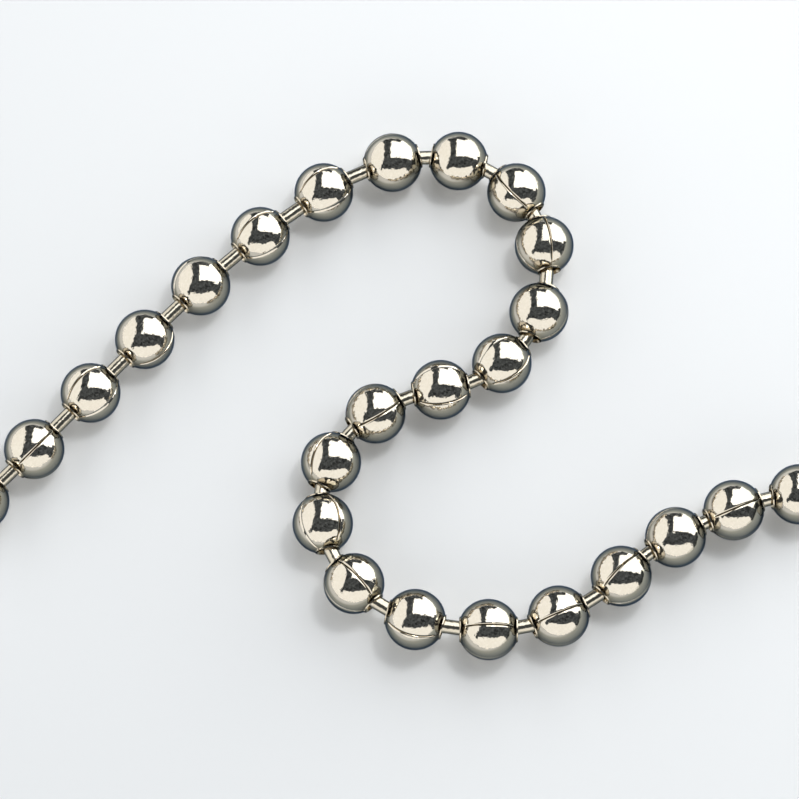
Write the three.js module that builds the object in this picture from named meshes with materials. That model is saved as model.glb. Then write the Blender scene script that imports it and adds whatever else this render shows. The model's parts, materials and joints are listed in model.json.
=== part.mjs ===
import * as THREE from "three";
import { mergeGeometries } from "three/addons/utils/BufferGeometryUtils.js";

// Ball chain of a roller blind, a length of it lying loose on a table.
// Hollow beads are pressed round the headed ends of short wire links, so each
// bead holds two heads and the chain bends at every hole. Millimetres, +Z up.

// Bead: a pressed shell with a hole at each pole and a slit where its edges meet
const BEAD_DIAMETER = 4.5;
const BEAD_WALL = 0.3;
const SEAM_WIDTH = 0.12;

// Lip round each hole: widens outwards, with a thin edge that stands off the ball
const LIP_FLARE = 0.15;
const LIP_EDGE = 0.07;
const LIP_HEIGHT = 0.1;

// Link: a wire with a head at each end, and the room it has in the hole
const WIRE_DIAMETER = 1.05;
const WIRE_PLAY = 0.215;
const HEAD_GRIP = 0.09;
const HEAD_PLAY = 0.03;
const HEAD_CAP = 0.5;

// Clear space between two beads when the chain is pulled tight
const BEAD_GAP = 1.5;

// Facets
const BEAD_SIDES = 12;
const OUTSIDE_STEPS = 6;
const INSIDE_STEPS = 4;
const LINK_SIDES = 8;

// How the chain lies, one row for each bead from the left end.
// turn: degrees the bead is turned from the one before it, to the left if positive
// closed: share of BEAD_GAP that is closed up in front of the bead
// seam: degrees from straight up to the slit, to the left of the chain if positive
const FIRST_HEADING = 44;
const LAY = [
  { turn: 0, closed: 0.23, seam: 120 },
  { turn: 3.5, closed: 0, seam: -16 },
  { turn: -0.5, closed: 0.13, seam: 21 },
  { turn: 0, closed: 0.03, seam: -66 },
  { turn: -2, closed: 0, seam: 124 },
  { turn: -6, closed: 0, seam: 21 },
  { turn: -4.5, closed: 0.1, seam: 25 },
  { turn: -19, closed: 0.57, seam: 130 },
  { turn: -28, closed: 0.5, seam: -160 },
  { turn: -36, closed: 0.73, seam: -23 },
  { turn: -32, closed: 0.33, seam: 9 },
  { turn: -29, closed: 0.63, seam: 150 },
  { turn: -31, closed: 0.57, seam: 48 },
  { turn: -30, closed: 0.47, seam: 46 },
  { turn: 23, closed: 0.57, seam: 22 },
  { turn: 33, closed: 0.73, seam: -32 },
  { turn: 35, closed: 0.5, seam: 34 },
  { turn: 33, closed: 0.43, seam: 5 },
  { turn: 30.5, closed: 0.37, seam: -45 },
  { turn: 16, closed: 0.47, seam: -4 },
  { turn: 22.5, closed: 0.27, seam: -6 },
  { turn: 21, closed: 0.63, seam: 6 },
  { turn: -15, closed: 0.77, seam: 135 },
  { turn: -6, closed: 0.6, seam: -10 },
  { turn: -17, closed: 0, seam: 160 },
];

// Sizes that follow from the ones above
const BEAD_RADIUS = BEAD_DIAMETER / 2;
const HOLLOW_RADIUS = BEAD_RADIUS - BEAD_WALL;
const WIRE_RADIUS = WIRE_DIAMETER / 2;
const HOLE_RADIUS = WIRE_RADIUS + WIRE_PLAY;
const HEAD_RADIUS = HOLE_RADIUS + HEAD_GRIP;
const HOLE_HEIGHT = Math.sqrt(HOLLOW_RADIUS ** 2 - HOLE_RADIUS ** 2);
const SEAT = HOLE_HEIGHT - Math.sqrt(HEAD_RADIUS ** 2 - HOLE_RADIUS ** 2) - HEAD_PLAY;
const LINK_SPAN = BEAD_DIAMETER + BEAD_GAP - 2 * SEAT;

const metal = new THREE.MeshStandardMaterial({ color: 0xd4cdbf, metalness: 1, roughness: 0.1 });
const wireMetal = new THREE.MeshStandardMaterial({ color: 0xd1c9b8, metalness: 1, roughness: 0.15 });

const { degToRad } = THREE.MathUtils;

// Arc of a circle round the centre of the bead, from one height to the other
function arc(radius, from, to, steps) {
  const start = Math.asin(from / radius);
  const sweep = Math.asin(to / radius) - start;
  return Array.from({ length: steps + 1 }, (_, step) => {
    const angle = start + (sweep * step) / steps;
    return new THREE.Vector2(radius * Math.cos(angle), radius * Math.sin(angle));
  });
}

// Section of the shell: up the outside, over one lip, down the inside, over the other lip
function beadSection() {
  const lipRadius = HOLE_RADIUS + LIP_FLARE;
  const footHeight = Math.sqrt(BEAD_RADIUS ** 2 - (lipRadius + LIP_EDGE) ** 2);
  const lipHeight = footHeight + LIP_HEIGHT;
  return [
    ...arc(BEAD_RADIUS, -footHeight, footHeight, OUTSIDE_STEPS),
    new THREE.Vector2(lipRadius, lipHeight),
    ...arc(HOLLOW_RADIUS, HOLE_HEIGHT, -HOLE_HEIGHT, INSIDE_STEPS),
    new THREE.Vector2(lipRadius, -lipHeight),
  ];
}

// Face that closes the shell at one side of the slit
function seamFace(section, angle, flipped) {
  const face = new THREE.ShapeGeometry(new THREE.Shape(section));
  if (flipped) {
    face.setIndex([...face.index.array].reverse());
  }
  return face.rotateY(angle - Math.PI / 2);
}

// Shell turned round Y from one side of the slit to the other, the slit at +Z
function beadGeometry() {
  const section = beadSection();
  const slit = Math.asin(SEAM_WIDTH / 2 / BEAD_RADIUS);
  const wall = new THREE.LatheGeometry([...section, section[0]], BEAD_SIDES, slit, 2 * Math.PI - 2 * slit);
  return mergeGeometries([wall, seamFace(section, slit, false), seamFace(section, -slit, true)]);
}

// Wire along Y with a rounded, flat-ended head at each end
function linkGeometry() {
  const head = [
    new THREE.Vector2(0, LINK_SPAN / 2 + HEAD_CAP),
    new THREE.Vector2(Math.sqrt(HEAD_RADIUS ** 2 - HEAD_CAP ** 2), LINK_SPAN / 2 + HEAD_CAP),
    new THREE.Vector2(HEAD_RADIUS, LINK_SPAN / 2),
    new THREE.Vector2(WIRE_RADIUS, LINK_SPAN / 2 - Math.sqrt(HEAD_RADIUS ** 2 - WIRE_RADIUS ** 2)),
  ];
  const otherHead = head.map((point) => new THREE.Vector2(point.x, -point.y));
  return new THREE.LatheGeometry([...otherHead, ...head.reverse()], LINK_SIDES);
}

// A piece with its own axis along the heading, turned about that axis by roll
function lay(geometry, material, name, place, heading, roll) {
  const piece = new THREE.Mesh(geometry, material);
  piece.name = name;
  piece.position.copy(place);
  piece.rotation.set(0, roll, heading - Math.PI / 2, "ZYX");
  return piece;
}

function step(heading, distance) {
  return new THREE.Vector3(Math.cos(heading) * distance, Math.sin(heading) * distance, 0);
}

// The chain from bead to bead. Each link runs between the seats of two beads,
// at the heading halfway between theirs.
function layChain() {
  const group = new THREE.Group();
  const bead = beadGeometry();
  const link = linkGeometry();
  const place = new THREE.Vector3();
  let heading = degToRad(FIRST_HEADING);
  LAY.forEach((row, index) => {
    const number = String(index + 1).padStart(2, "0");
    if (index > 0) {
      const before = LAY[index - 1];
      const half = degToRad(row.turn) / 2;
      const halfSpan = (LINK_SPAN - before.closed * BEAD_GAP) / 2;
      const linkNumber = String(index).padStart(2, "0");
      place.add(step(heading, SEAT)).add(step(heading + half, halfSpan));
      group.add(lay(link, wireMetal, `link_${linkNumber}`, place, heading + half, 0));
      place.add(step(heading + half, halfSpan)).add(step(heading + 2 * half, SEAT));
      heading += 2 * half;
    }
    group.add(lay(bead, metal, `bead_${number}`, place, heading, -degToRad(row.seam)));
  });
  return group;
}

// Centred over the origin and lying on the plane z = 0
const chain = layChain();
const extent = new THREE.Box3().setFromObject(chain, true);
const middle = extent.getCenter(new THREE.Vector3());
chain.position.set(-middle.x, -middle.y, -extent.min.z);

export default chain;
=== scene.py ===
import json
import math

import bpy
from mathutils import Matrix, Vector

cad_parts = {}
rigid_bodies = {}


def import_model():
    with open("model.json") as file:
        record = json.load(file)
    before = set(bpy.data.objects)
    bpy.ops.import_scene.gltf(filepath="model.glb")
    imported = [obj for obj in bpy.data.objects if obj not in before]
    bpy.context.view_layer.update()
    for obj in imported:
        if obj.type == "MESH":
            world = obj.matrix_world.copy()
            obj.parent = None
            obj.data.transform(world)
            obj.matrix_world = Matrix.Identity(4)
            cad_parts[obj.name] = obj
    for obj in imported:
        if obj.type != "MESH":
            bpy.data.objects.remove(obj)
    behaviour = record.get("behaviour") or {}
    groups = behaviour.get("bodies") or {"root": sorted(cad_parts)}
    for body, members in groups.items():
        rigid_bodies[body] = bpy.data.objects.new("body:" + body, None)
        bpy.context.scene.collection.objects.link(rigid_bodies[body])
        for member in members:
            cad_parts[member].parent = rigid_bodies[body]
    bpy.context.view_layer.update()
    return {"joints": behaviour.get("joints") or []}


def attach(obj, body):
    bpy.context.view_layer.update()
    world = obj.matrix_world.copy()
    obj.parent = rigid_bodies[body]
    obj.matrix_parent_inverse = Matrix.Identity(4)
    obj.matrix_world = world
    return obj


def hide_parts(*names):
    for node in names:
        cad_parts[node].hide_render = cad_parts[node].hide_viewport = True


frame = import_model()
bpy.context.scene.view_settings.view_transform = "Standard"

# The studio
# The chain lies on a wide pale table top that curves up into a low edge far
# around it. One seamless sheet of painted board, matt, under everything.
MM = 0.001
TABLE_RADIUS = 1.4
TABLE_SIDES = 128
TABLE_EDGE = 0.06
COVE_RADIUS = 0.04
COVE_STEPS = 12
TABLE_COLOUR = (0.78, 0.79, 0.80, 1)
TABLE_SHADE = 0.96
TABLE_ROUGHNESS = 0.9
TABLE_GLOSS = 0.1


def deselect_everything():
    if bpy.context.mode != "OBJECT":
        bpy.ops.object.mode_set(mode="OBJECT")
    bpy.ops.object.select_all(action="DESELECT")


def select_where(piece, kind, wanted):
    """In edit mode: selects the vertices, edges or faces that the test names."""
    bpy.ops.mesh.select_mode(type=kind)
    bpy.ops.mesh.select_all(action="DESELECT")
    bpy.ops.object.mode_set(mode="OBJECT")
    mesh = piece.data
    items = {"VERT": mesh.vertices, "EDGE": mesh.edges, "FACE": mesh.polygons}[kind]
    for item in items:
        item.select = wanted(item)
    bpy.ops.object.mode_set(mode="EDIT")


deselect_everything()
bpy.ops.mesh.primitive_circle_add(vertices=TABLE_SIDES, radius=TABLE_RADIUS, fill_type="NGON")
table = bpy.context.object
table.name = "table_top"
bpy.ops.object.mode_set(mode="EDIT")
bpy.ops.mesh.select_mode(type="EDGE")
bpy.ops.mesh.select_all(action="SELECT")
bpy.ops.mesh.extrude_edges_move(TRANSFORM_OT_translate={"value": (0, 0, TABLE_EDGE)})
select_where(
    table,
    "EDGE",
    lambda edge: all(table.data.vertices[v].co.z < TABLE_EDGE / 2 for v in edge.vertices),
)
bpy.ops.mesh.bevel(offset=COVE_RADIUS, segments=COVE_STEPS, affect="EDGES")
bpy.ops.object.mode_set(mode="OBJECT")
bpy.ops.object.shade_smooth()

board = bpy.data.materials.new("painted_board")
board.use_nodes = True
nodes = board.node_tree.nodes
links = board.node_tree.links
paint = nodes["Principled BSDF"]
paint.inputs["Roughness"].default_value = TABLE_ROUGHNESS
paint.inputs["Specular IOR Level"].default_value = TABLE_GLOSS
place = nodes.new("ShaderNodeTexCoord")
mottle = nodes.new("ShaderNodeTexNoise")
mottle.inputs["Scale"].default_value = 14
mottle.inputs["Detail"].default_value = 3
shades = nodes.new("ShaderNodeMix")
shades.data_type = "RGBA"
shades.inputs["A"].default_value = TABLE_COLOUR
shades.inputs["B"].default_value = [TABLE_SHADE * c for c in TABLE_COLOUR[:3]] + [1]
links.new(place.outputs["Object"], mottle.inputs["Vector"])
links.new(mottle.outputs["Fac"], shades.inputs["Factor"])
links.new(shades.outputs["Result"], paint.inputs["Base Color"])
table.data.materials.append(board)

# The camera
# Nearly overhead and a little to the front, close enough that the near beads
# look larger than the far ones.
CAMERA_ELEVATION = math.radians(72)
CAMERA_DISTANCE = 0.240
CAMERA_LENS = 144.4
CAMERA_SENSOR = 36
CAMERA_NEAREST = 0.01
AIM = Vector((0.77, -0.74, 2.25)) * MM

toward_camera = Vector((0, -math.cos(CAMERA_ELEVATION), math.sin(CAMERA_ELEVATION)))
deselect_everything()
bpy.ops.object.camera_add(
    location=AIM + CAMERA_DISTANCE * toward_camera,
    rotation=(math.pi / 2 - CAMERA_ELEVATION, 0, 0),
)
camera = bpy.context.object
camera.name = "camera"
camera.data.lens = CAMERA_LENS
camera.data.sensor_width = CAMERA_SENSOR
camera.data.clip_start = CAMERA_NEAREST
bpy.context.scene.camera = camera

# The lamps
# Softboxes stand on the table to the left, in the corner beside it, in front
# and at the right rear. A large one hangs flat over the right rear, with a small
# bright lamp under it that makes the shadows. Between them is the dark room.
LAMP_DISTANCE = 0.30
SOFTBOX_RADIANCE = 1.30
WARM_WHITE = (1.0, 1.0, 0.985)
COOL_WHITE = (0.97, 0.99, 1.0)


def softbox(name, low, high, facing, radiance, colour, shape="RECTANGLE"):
    """A lamp that fills the flat box from low to high and shines along facing."""
    low = Vector(low)
    high = Vector(high)
    turn = facing.to_track_quat("-Z", "Y").to_euler()
    deselect_everything()
    bpy.ops.object.light_add(type="AREA", location=(low + high) / 2, rotation=turn)
    lamp = bpy.context.object
    lamp.name = name
    across = turn.to_matrix().inverted() @ (high - low)
    lamp.data.shape = shape
    lamp.data.size = abs(across.x)
    lamp.data.size_y = abs(across.y)
    filled = math.pi / 4 if shape == "ELLIPSE" else 1
    lamp.data.energy = radiance * math.pi * lamp.data.size * lamp.data.size_y * filled
    lamp.data.color = colour
    lamp.visible_camera = False


# Mirrored as the leaf of light at the left of each bead. The ellipse goes on
# below the table, so what shows of it is an arch.
softbox(
    "left_softbox",
    (-LAMP_DISTANCE, -0.23, -0.51),
    (-LAMP_DISTANCE, 0.63, 0.51),
    Vector((1, 0, 0)),
    radiance=SOFTBOX_RADIANCE,
    colour=WARM_WHITE,
    shape="ELLIPSE",
)
# These two are mirrored as the band of light along the front of each bead
softbox(
    "corner_softbox",
    (-LAMP_DISTANCE, -LAMP_DISTANCE, 0.0),
    (-LAMP_DISTANCE, -0.10, 0.15),
    Vector((1, 0, 0)),
    radiance=SOFTBOX_RADIANCE,
    colour=WARM_WHITE,
)
softbox(
    "front_softbox",
    (-LAMP_DISTANCE, -LAMP_DISTANCE, 0.0),
    (0.50, -LAMP_DISTANCE, 0.28),
    Vector((0, 1, 0)),
    radiance=SOFTBOX_RADIANCE,
    colour=WARM_WHITE,
)
# Mirrored as the white patch at the upper right of each bead
softbox(
    "overhead_softbox",
    (-0.04, 0.015, LAMP_DISTANCE),
    (1.20, 0.90, LAMP_DISTANCE),
    Vector((0, 0, -1)),
    radiance=2.10,
    colour=COOL_WHITE,
)
# Lights the rims at the upper right
softbox(
    "rear_softbox",
    (0.62, 0.12, 0.0),
    (0.20, 0.54, 0.16),
    Vector((-1, -1, 0)),
    radiance=3.6,
    colour=WARM_WHITE,
)
# Makes the shadows
softbox(
    "key_lamp",
    (0.07, 0.06, 0.28),
    (0.12, 0.11, 0.28),
    Vector((0, 0, -1)),
    radiance=24,
    colour=(1.0, 1.0, 1.0),
)

# The room is dim and bluish, with lighter and darker parts all over
ROOM_COLOUR = (0.80, 0.90, 1.0, 1)
ROOM_DARKEST = 0.035
ROOM_LIGHTEST = 0.19
CLUTTER_LOW = 0.38
CLUTTER_HIGH = 0.66

room = bpy.data.worlds.new("dark_room")
room.use_nodes = True
nodes = room.node_tree.nodes
links = room.node_tree.links
nodes["Background"].inputs["Color"].default_value = ROOM_COLOUR
clutter = nodes.new("ShaderNodeTexNoise")
clutter.inputs["Scale"].default_value = 9
clutter.inputs["Detail"].default_value = 5
dimness = nodes.new("ShaderNodeMapRange")
dimness.inputs["From Min"].default_value = CLUTTER_LOW
dimness.inputs["From Max"].default_value = CLUTTER_HIGH
dimness.inputs["To Min"].default_value = ROOM_DARKEST
dimness.inputs["To Max"].default_value = ROOM_LIGHTEST
place = nodes.new("ShaderNodeTexCoord")
links.new(place.outputs["Generated"], clutter.inputs["Vector"])
links.new(clutter.outputs["Fac"], dimness.inputs["Value"])
links.new(dimness.outputs["Result"], nodes["Background"].inputs["Strength"])
bpy.context.scene.world = room

# Nickel plate
# Beads and links are mild steel with bright, slightly warm nickel on top. The
# plate follows the die marks below it, so the surface waves a little, and
# handling has left fine marks on it. Its reflections are darker and bluer at a
# slant, and for the camera only its colour is darkened further towards each
# piece's outline, a painted shade that gives each piece a dark rim.

# Slant of the surface, and the painted shade there: what its colour is multiplied by for the
# camera
PAINTED_RIM_SHADES = (
    (0.33, (1, 1, 1, 1)),
    (0.40, (0.54, 0.56, 0.53, 1)),
    (0.50, (0.40, 0.43, 0.43, 1)),
    (0.64, (0.31, 0.34, 0.35, 1)),
    (0.85, (0.16, 0.20, 0.25, 1)),
)
# Added to the normal, so that the painted dark rim is wider at the right and in front
PAINTED_RIM_SHIFT = (0.186, -0.159, -0.052)
SLANT_TINT = (0.28, 0.33, 0.42, 1)
# How far haze dulls the colour, and fine marks and grime roughen the polish
STAIN = 0.14
SPECKLE = 0.04
SOOT = 0.12
# Waves, dents and fine marks in the surface, as shares of a piece's wave height
SWELL = 2.0
DIMPLE = 0.9
SCRATCH = 0.06


def wire_up(tree, *pairs):
    for source, target in pairs:
        tree.links.new(source, target)


def noise_node(tree, vector, scale, detail, roughness=0.5):
    node = tree.nodes.new("ShaderNodeTexNoise")
    node.inputs["Scale"].default_value = scale
    node.inputs["Detail"].default_value = detail
    node.inputs["Roughness"].default_value = roughness
    tree.links.new(vector, node.inputs["Vector"])
    return node


def math_node(tree, operation, first, second, clamp=False):
    node = tree.nodes.new("ShaderNodeMath")
    node.operation = operation
    node.use_clamp = clamp
    for socket, value in zip(node.inputs, (first, second)):
        if isinstance(value, (int, float)):
            socket.default_value = value
        else:
            tree.links.new(value, socket)
    return node.outputs["Value"]


def build_plate_group():
    """Marks, waves, grime and painted shade that both the beads and the links show."""
    tree = bpy.data.node_groups.new("plated_surface", "ShaderNodeTree")
    sockets = (
        ("Vector", "INPUT", "NodeSocketVector"),
        ("Grime And Shade", "INPUT", "NodeSocketFloat"),
        ("Mark Scale", "INPUT", "NodeSocketFloat"),
        ("Polish", "INPUT", "NodeSocketFloat"),
        ("Bright", "INPUT", "NodeSocketColor"),
        ("Dull", "INPUT", "NodeSocketColor"),
        ("Colour", "OUTPUT", "NodeSocketColor"),
        ("Roughness", "OUTPUT", "NodeSocketFloat"),
        ("Height", "OUTPUT", "NodeSocketFloat"),
    )
    for name, direction, kind in sockets:
        tree.interface.new_socket(name=name, in_out=direction, socket_type=kind)
    given = tree.nodes.new("NodeGroupInput").outputs
    result = tree.nodes.new("NodeGroupOutput").inputs

    scaled = tree.nodes.new("ShaderNodeVectorMath")
    scaled.operation = "SCALE"
    wire_up(
        tree,
        (given["Vector"], scaled.inputs[0]),
        (given["Mark Scale"], scaled.inputs["Scale"]),
    )
    vector = scaled.outputs["Vector"]
    waves = noise_node(tree, vector, scale=0.9, detail=1)
    dents = noise_node(tree, vector, scale=6.0, detail=2)
    marks = noise_node(tree, vector, scale=26, detail=3, roughness=0.7)
    haze = noise_node(tree, vector, scale=1.6, detail=4, roughness=0.6)

    stain = math_node(tree, "MULTIPLY", haze.outputs["Fac"], STAIN)
    dirt_and_shade = math_node(tree, "ADD", stain, given["Grime And Shade"], clamp=True)
    tint = tree.nodes.new("ShaderNodeMix")
    tint.data_type = "RGBA"
    wire_up(
        tree,
        (dirt_and_shade, tint.inputs["Factor"]),
        (given["Bright"], tint.inputs["A"]),
        (given["Dull"], tint.inputs["B"]),
        (tint.outputs["Result"], result["Colour"]),
    )

    speckle = math_node(tree, "MULTIPLY", marks.outputs["Fac"], SPECKLE)
    rough = math_node(tree, "ADD", given["Polish"], speckle)
    soot = math_node(tree, "MULTIPLY", given["Grime And Shade"], SOOT)
    rough = math_node(tree, "ADD", rough, soot, clamp=True)
    wire_up(tree, (rough, result["Roughness"]))

    swell = math_node(tree, "MULTIPLY", waves.outputs["Fac"], SWELL)
    dimple = math_node(tree, "MULTIPLY", dents.outputs["Fac"], DIMPLE)
    scratch = math_node(tree, "MULTIPLY", marks.outputs["Fac"], SCRATCH)
    height = math_node(tree, "ADD", swell, dimple)
    height = math_node(tree, "ADD", height, scratch)
    wire_up(tree, (height, result["Height"]))
    return tree


plate = build_plate_group()


def nickel(name, bright, dull, polish, mark_scale, wave_height):
    """Metal with the plated surface, reading the piece's own attribute of grime and painted
    shade.
    """
    material = bpy.data.materials.new(name)
    material.use_nodes = True
    tree = material.node_tree
    shader = tree.nodes["Principled BSDF"]
    shader.inputs["Metallic"].default_value = 1
    shader.inputs["Specular Tint"].default_value = SLANT_TINT
    where = tree.nodes.new("ShaderNodeTexCoord")
    grime_and_shade = tree.nodes.new("ShaderNodeAttribute")
    grime_and_shade.attribute_name = "grime_and_shade"
    surface = tree.nodes.new("ShaderNodeGroup")
    surface.node_tree = plate
    surface.inputs["Mark Scale"].default_value = mark_scale
    surface.inputs["Polish"].default_value = polish
    surface.inputs["Bright"].default_value = bright
    surface.inputs["Dull"].default_value = dull

    # The painted dark rim, a painted shade for the camera only: what the beads mirror keeps its
    # colour
    ray = tree.nodes.new("ShaderNodeLightPath")
    slant = tree.nodes.new("ShaderNodeLayerWeight")
    slant.inputs["Blend"].default_value = 0.5
    geometry = tree.nodes.new("ShaderNodeNewGeometry")
    leaned = tree.nodes.new("ShaderNodeVectorMath")
    leaned.operation = "ADD"
    leaned.inputs[1].default_value = PAINTED_RIM_SHIFT
    unit = tree.nodes.new("ShaderNodeVectorMath")
    unit.operation = "NORMALIZE"
    painted_rim_ramp = tree.nodes.new("ShaderNodeValToRGB")
    for position, shade in PAINTED_RIM_SHADES:
        stop = painted_rim_ramp.color_ramp.elements.new(position)
        stop.color = shade
    painted_rim_ramp.color_ramp.elements.remove(painted_rim_ramp.color_ramp.elements[0])
    painted_rim_ramp.color_ramp.elements.remove(painted_rim_ramp.color_ramp.elements[-1])
    shaded = tree.nodes.new("ShaderNodeMix")
    shaded.data_type = "RGBA"
    shaded.blend_type = "MULTIPLY"

    bump = tree.nodes.new("ShaderNodeBump")
    bump.inputs["Distance"].default_value = wave_height
    wire_up(
        tree,
        (where.outputs["Object"], surface.inputs["Vector"]),
        (grime_and_shade.outputs["Fac"], surface.inputs["Grime And Shade"]),
        (geometry.outputs["Normal"], leaned.inputs[0]),
        (leaned.outputs["Vector"], unit.inputs[0]),
        (unit.outputs["Vector"], slant.inputs["Normal"]),
        (slant.outputs["Facing"], painted_rim_ramp.inputs["Fac"]),
        (ray.outputs["Is Camera Ray"], shaded.inputs["Factor"]),
        (painted_rim_ramp.outputs["Color"], shaded.inputs["B"]),
        (surface.outputs["Colour"], shaded.inputs["A"]),
        (shaded.outputs["Result"], shader.inputs["Base Color"]),
        (surface.outputs["Roughness"], shader.inputs["Roughness"]),
        (surface.outputs["Height"], bump.inputs["Height"]),
        (bump.outputs["Normal"], shader.inputs["Normal"]),
    )
    return material


# The beads
# Each bead is a ball pressed from thin steel strip round the heads of two
# links. The strip's edges meet in a fine slit from hole to hole, the far edge
# of the die leaves a crease, and the metal is turned up into a lip round each hole.
BEAD_RADIUS = 2.25 * MM
BEAD_WALL = 0.30 * MM
HOLE_RADIUS = 0.74 * MM
LIP_FLARE = 0.15 * MM
LIP_EDGE = 0.07 * MM
LIP_HEIGHT = 0.10 * MM
SLIT_WIDTH = 0.03 * MM
SLIT_ROUNDING = 0.13 * MM
CREASE_ANGLE = 76
CREASE_WIDTH = 0.12 * MM
CREASE_DEPTH = 0.05 * MM
BEAD_STEPS = 88
OUTSIDE_STEPS = 36
INSIDE_STEPS = 16
ROUNDING_STEPS = 3
SMOOTH_ANGLE = math.radians(35)
# Points nearer than this are one, and one within so many degrees is on the crease
SAME_PLACE = 0.002 * MM
SAME_ANGLE = 0.05
# Dull colour along the slit and round each lip's foot is grime and painted shade; inside it is
# grime only
SLIT_GRIME_AND_SHADE = 0.4
HOLE_GRIME_AND_SHADE = 0.3
INNER_GRIME = 1.0
# Round of the lip's edge: shares of LIP_EDGE inwards and of LIP_HEIGHT upwards
LIP_ROUND = ((0, 0), (0.15, 0.55), (0.40, 0.88), (0.75, 1), (1.20, 0.85))
# Degrees from straight up to each bead's slit, to the left of the chain if positive
SLITS = [
    120, -16, 21, -66, 124, 21, 25, 130, -160, -23, 9, 150, 48,
    46, 22, -32, 34, 5, -45, -4, -6, 6, 135, -10, 160,
]  # fmt: skip


def draw_on(moves):
    """In edit mode: draws the section on from the selected vertex through these moves."""
    for radius, height in moves:
        bpy.ops.mesh.extrude_vertices_move(TRANSFORM_OT_translate={"value": (radius, height, 0)})


def steps_between(points):
    return [(b[0] - a[0], b[1] - a[1]) for a, b in zip(points, points[1:])]


foot_radius = HOLE_RADIUS + LIP_FLARE + LIP_EDGE
foot_height = math.sqrt(BEAD_RADIUS**2 - foot_radius**2)
hollow_radius = BEAD_RADIUS - BEAD_WALL
hole_height = math.sqrt(hollow_radius**2 - HOLE_RADIUS**2)

# Section of a lip: round its thin edge, then down its flared inside to the hole
lip_round = [
    (foot_radius - inwards * LIP_EDGE, foot_height + up * LIP_HEIGHT)
    for inwards, up in LIP_ROUND
]
lip_inside = [
    (HOLE_RADIUS + 0.60 * LIP_FLARE, foot_height),
    (HOLE_RADIUS + 0.20 * LIP_FLARE, (foot_height + hole_height) / 2),
    (HOLE_RADIUS, hole_height),
]
lip = lip_round + lip_inside
other_lip = [(radius, -height) for radius, height in reversed(lip)]

# Section of the shell, from the foot of the lower lip: outside, lip, inside, lip
deselect_everything()
bpy.ops.mesh.primitive_plane_add(size=MM)
master_bead = bpy.context.object
master_bead.name = "bead_master"
bpy.ops.object.mode_set(mode="EDIT")
bpy.ops.mesh.select_mode(type="VERT")
bpy.ops.mesh.merge(type="CENTER")
bpy.ops.transform.translate(value=(foot_radius, -foot_height, 0))
bpy.ops.mesh.spin(
    steps=OUTSIDE_STEPS,
    angle=2 * math.asin(foot_height / BEAD_RADIUS),
    center=(0, 0, 0),
    axis=(0, 0, -1),
)
draw_on(steps_between(lip))
bpy.ops.mesh.spin(
    steps=INSIDE_STEPS,
    angle=2 * math.asin(hole_height / hollow_radius),
    center=(0, 0, 0),
    axis=(0, 0, 1),
)
draw_on(steps_between(other_lip))
bpy.ops.mesh.select_all(action="SELECT")
bpy.ops.mesh.remove_doubles(threshold=SAME_PLACE)

# Turned about the bead's axis from one side of the slit round to the other
slit_angle = math.asin(SLIT_WIDTH / 2 / BEAD_RADIUS)
bpy.ops.mesh.select_all(action="SELECT")
bpy.ops.mesh.spin(
    steps=BEAD_STEPS,
    angle=2 * math.pi - 2 * slit_angle,
    center=(0, 0, 0),
    axis=(0, 1, 0),
)
bpy.ops.mesh.select_all(action="SELECT")
bpy.ops.mesh.remove_doubles(threshold=SAME_PLACE)
bpy.ops.mesh.select_mode(type="EDGE")
bpy.ops.mesh.select_all(action="DESELECT")
bpy.ops.mesh.select_non_manifold()
bpy.ops.mesh.fill_holes(sides=0)
bpy.ops.mesh.select_all(action="SELECT")
bpy.ops.mesh.normals_make_consistent(inside=False)


def angle_about_axis(point):
    """Degrees round the bead's axis, 0 at the slit once the bead is turned up."""
    return math.degrees(math.atan2(point.x, point.z))


def is_long(face):
    """More than four corners, which only the faces in the slit have."""
    return len(face.vertices) > 4


def is_outside(point):
    return point.length > BEAD_RADIUS - SAME_PLACE


# The slit is brought to the top
bpy.ops.object.mode_set(mode="OBJECT")
slit_faces = [face for face in master_bead.data.polygons if is_long(face)]
slit_middle = sum((face.center for face in slit_faces), Vector()) / len(slit_faces)
master_bead.rotation_euler.y = -math.radians(angle_about_axis(slit_middle))
bpy.ops.object.transform_apply(location=True, rotation=True, scale=True)

# Its edges are broken by the press, which leaves a bright round along each.
# The round stops short of the lips, where the metal is too thin for it.
points = master_bead.data.vertices
in_slit = {v for face in master_bead.data.polygons if is_long(face) for v in face.vertices}


def is_rounded(point):
    return is_outside(point) and abs(point.y) < hole_height


bpy.ops.object.mode_set(mode="EDIT")
select_where(
    master_bead,
    "EDGE",
    lambda edge: all(v in in_slit and is_rounded(points[v].co) for v in edge.vertices),
)
bpy.ops.mesh.bevel(offset=SLIT_ROUNDING, segments=ROUNDING_STEPS, affect="EDGES")

# The crease: one line of the ball, doubled and pressed in along its middle
crease_line = min(
    (angle_about_axis(v.co) for v in points if is_outside(v.co)),
    key=lambda angle: abs(angle - CREASE_ANGLE),
)


def on_crease(vertex):
    near_outside = vertex.co.length > BEAD_RADIUS - CREASE_WIDTH / 4
    return near_outside and abs(angle_about_axis(vertex.co) - crease_line) < SAME_ANGLE


select_where(
    master_bead,
    "EDGE",
    lambda edge: all(on_crease(master_bead.data.vertices[v]) for v in edge.vertices),
)
bpy.ops.mesh.bevel(offset=CREASE_WIDTH, segments=2, affect="EDGES")
select_where(master_bead, "VERT", on_crease)
bpy.ops.transform.shrink_fatten(value=-CREASE_DEPTH)

# The long curved faces in the slit are cut into triangles, so that none spans
# the hollow
select_where(master_bead, "FACE", is_long)
bpy.ops.mesh.quads_convert_to_tris(ngon_method="CLIP")
bpy.ops.object.mode_set(mode="OBJECT")
bpy.ops.object.shade_smooth_by_angle(angle=SMOOTH_ANGLE)
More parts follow.
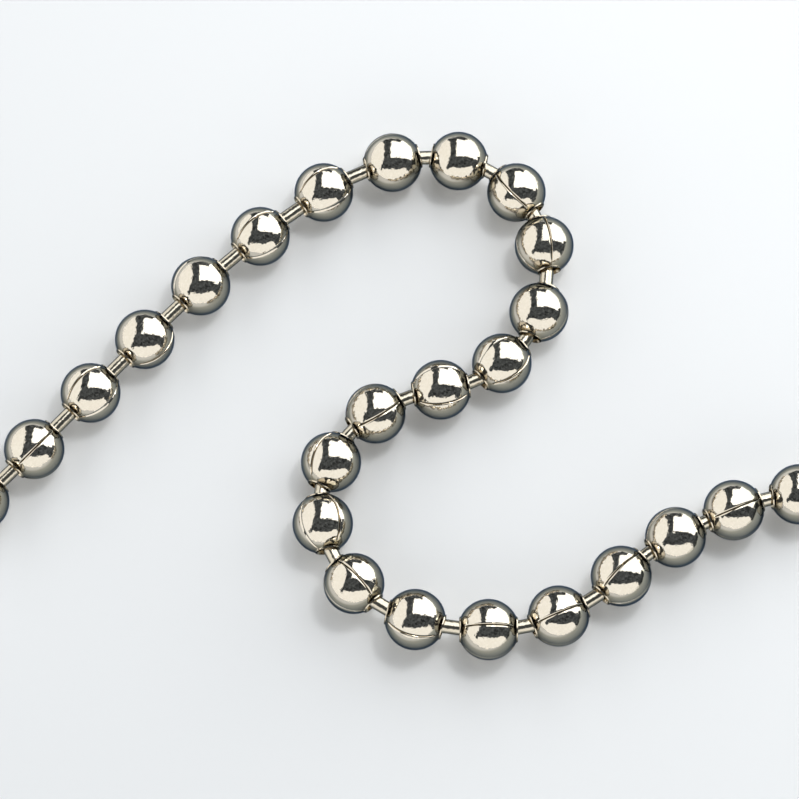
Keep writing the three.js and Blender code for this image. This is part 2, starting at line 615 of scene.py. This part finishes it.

# Polish stays off what the buffing wheel can't reach: the slit, the foot of
# each lip and the inside. Along the slit and round the foot of each lip the
# dull colour is also painted shade.
grime_and_shade = master_bead.data.attributes.new("grime_and_shade", "FLOAT", "POINT")
for vertex in master_bead.data.vertices:
    turned = abs(angle_about_axis(vertex.co))
    from_slit = math.radians(turned) * BEAD_RADIUS - SLIT_WIDTH / 2
    from_axis = math.hypot(vertex.co.x, vertex.co.z)
    slit_grime_and_shade = SLIT_GRIME_AND_SHADE * math.exp(-((from_slit / (2 * SLIT_WIDTH)) ** 2))
    hole_grime_and_shade = HOLE_GRIME_AND_SHADE * math.exp(-(((from_axis - foot_radius) / (4 * LIP_EDGE)) ** 2))
    inside = vertex.co.length < BEAD_RADIUS - BEAD_WALL / 2 and from_axis > HOLE_RADIUS
    inner_grime = INNER_GRIME if inside else 0
    grime_and_shade.data[vertex.index].value = max(slit_grime_and_shade, hole_grime_and_shade, inner_grime)


def seat_between(bead, link):
    """Centre of the head of that link in that bead, where the joint's axis is."""
    for joint in frame["joints"]:
        if {joint["parent"], joint["child"]} == {bead, link}:
            return Vector(joint["pos_m"])
    raise ValueError(f"no joint between {bead} and {link}")


def mirrored(vector, line):
    """The vector as far to the other side of the line."""
    along = line.normalized()
    return 2 * vector.dot(along) * along - vector


# Seats of the heads along the chain, with the outer holes' seats at the two ends
seats = []
for number in range(1, len(SLITS)):
    seats.append(seat_between(f"bead_{number:02d}", f"link_{number:02d}"))
    seats.append(seat_between(f"bead_{number + 1:02d}", f"link_{number:02d}"))
first_axis = mirrored(seats[2] - seats[1], seats[1] - seats[0])
last_axis = mirrored(seats[-2] - seats[-3], seats[-1] - seats[-2])
seats = [seats[0] - first_axis] + seats + [seats[-1] + last_axis]


def lay_copy(master, name, start, end, roll):
    """A copy with its own mesh, its axis from start to end and turned about it by roll."""
    heading = math.atan2(end.y - start.y, end.x - start.x)
    deselect_everything()
    master.select_set(True)
    bpy.context.view_layer.objects.active = master
    bpy.ops.object.duplicate(linked=False)
    copy = bpy.context.object
    copy.name = name
    copy.matrix_world = (
        Matrix.Translation((start + end) / 2)
        @ Matrix.Rotation(heading - math.pi / 2, 4, "Z")
        @ Matrix.Rotation(roll, 4, "Y")
    )
    bpy.ops.object.transform_apply(location=True, rotation=True, scale=True)
    return copy


master_bead.data.materials.append(
    nickel(
        "bright_nickel",
        bright=(0.65, 0.60, 0.515, 1),
        dull=(0.50, 0.38, 0.21, 1),
        polish=0.03,
        mark_scale=420,
        wave_height=0.02 * MM,
    )
)
for number, slit in enumerate(SLITS, start=1):
    node = f"bead_{number:02d}"
    start, end = seats[2 * number - 2 : 2 * number]
    bead = lay_copy(master_bead, f"{node}_shell", start, end, -math.radians(slit))
    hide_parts(node)
    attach(bead, node)
bpy.data.objects.remove(master_bead)

# The links
# Each link is a short piece of round wire whose ends are upset into heads
# inside the beads, flat where the tool struck them. Steel, plated like the beads.
WIRE_RADIUS = 0.525 * MM
HEAD_RADIUS = 0.83 * MM
HEAD_CAP = 0.50 * MM
LINK_SPAN = 3.2035 * MM
LINK_SIDES = 32
HEAD_STEPS = 9
HEAD_ROUNDING = 0.12 * MM
HEAD_DOME = HEAD_ROUNDING / 4
HEAD_GRIME = 0.45
WIRE_GRIME = 0.15

neck_angle = math.asin(WIRE_RADIUS / HEAD_RADIUS)
cap_angle = math.pi - math.acos(HEAD_CAP / HEAD_RADIUS)
neck_height = LINK_SPAN / 2 - HEAD_RADIUS * math.cos(neck_angle)

# The wire, with each end drawn on ring by ring round the head and domed a little
deselect_everything()
bpy.ops.mesh.primitive_cylinder_add(
    vertices=LINK_SIDES,
    radius=WIRE_RADIUS,
    depth=2 * neck_height,
    rotation=(math.pi / 2, 0, 0),
)
bpy.ops.object.transform_apply(location=True, rotation=True, scale=True)
master_link = bpy.context.object
master_link.name = "link_master"
bpy.ops.object.mode_set(mode="EDIT")
for side in (1, -1):
    select_where(
        master_link,
        "FACE",
        lambda face: len(face.vertices) > 4 and side * face.center.y > 0,
    )
    radius = WIRE_RADIUS
    height = neck_height
    for step in range(1, HEAD_STEPS + 1):
        angle = neck_angle + (cap_angle - neck_angle) * step / HEAD_STEPS
        new_radius = HEAD_RADIUS * math.sin(angle)
        new_height = LINK_SPAN / 2 - HEAD_RADIUS * math.cos(angle)
        bpy.ops.mesh.extrude_region_move(
            TRANSFORM_OT_translate={"value": (0, side * (new_height - height), 0)}
        )
        spread = new_radius / radius
        bpy.ops.transform.resize(
            value=(spread, 1, spread),
            center_override=(0, side * new_height, 0),
        )
        radius = new_radius
        height = new_height
    bpy.ops.mesh.inset(thickness=HEAD_ROUNDING)
    bpy.ops.transform.translate(value=(0, side * HEAD_DOME, 0))
bpy.ops.mesh.select_all(action="SELECT")
bpy.ops.mesh.normals_make_consistent(inside=False)
bpy.ops.object.mode_set(mode="OBJECT")
bpy.ops.object.shade_smooth_by_angle(angle=SMOOTH_ANGLE)

# The heads are never rubbed clean, unlike the wire between the beads
grime_and_shade = master_link.data.attributes.new("grime_and_shade", "FLOAT", "POINT")
for vertex in master_link.data.vertices:
    on_head = abs(vertex.co.y) >= neck_height
    grime_and_shade.data[vertex.index].value = HEAD_GRIME if on_head else WIRE_GRIME

master_link.data.materials.append(
    nickel(
        "drawn_nickel",
        bright=(0.64, 0.585, 0.48, 1),
        dull=(0.28, 0.22, 0.14, 1),
        polish=0.10,
        mark_scale=600,
        wave_height=0.02 * MM,
    )
)
for number in range(1, len(SLITS)):
    node = f"link_{number:02d}"
    link = lay_copy(master_link, f"{node}_wire", seats[2 * number - 1], seats[2 * number], 0)
    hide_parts(node)
    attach(link, node)
bpy.data.objects.remove(master_link)
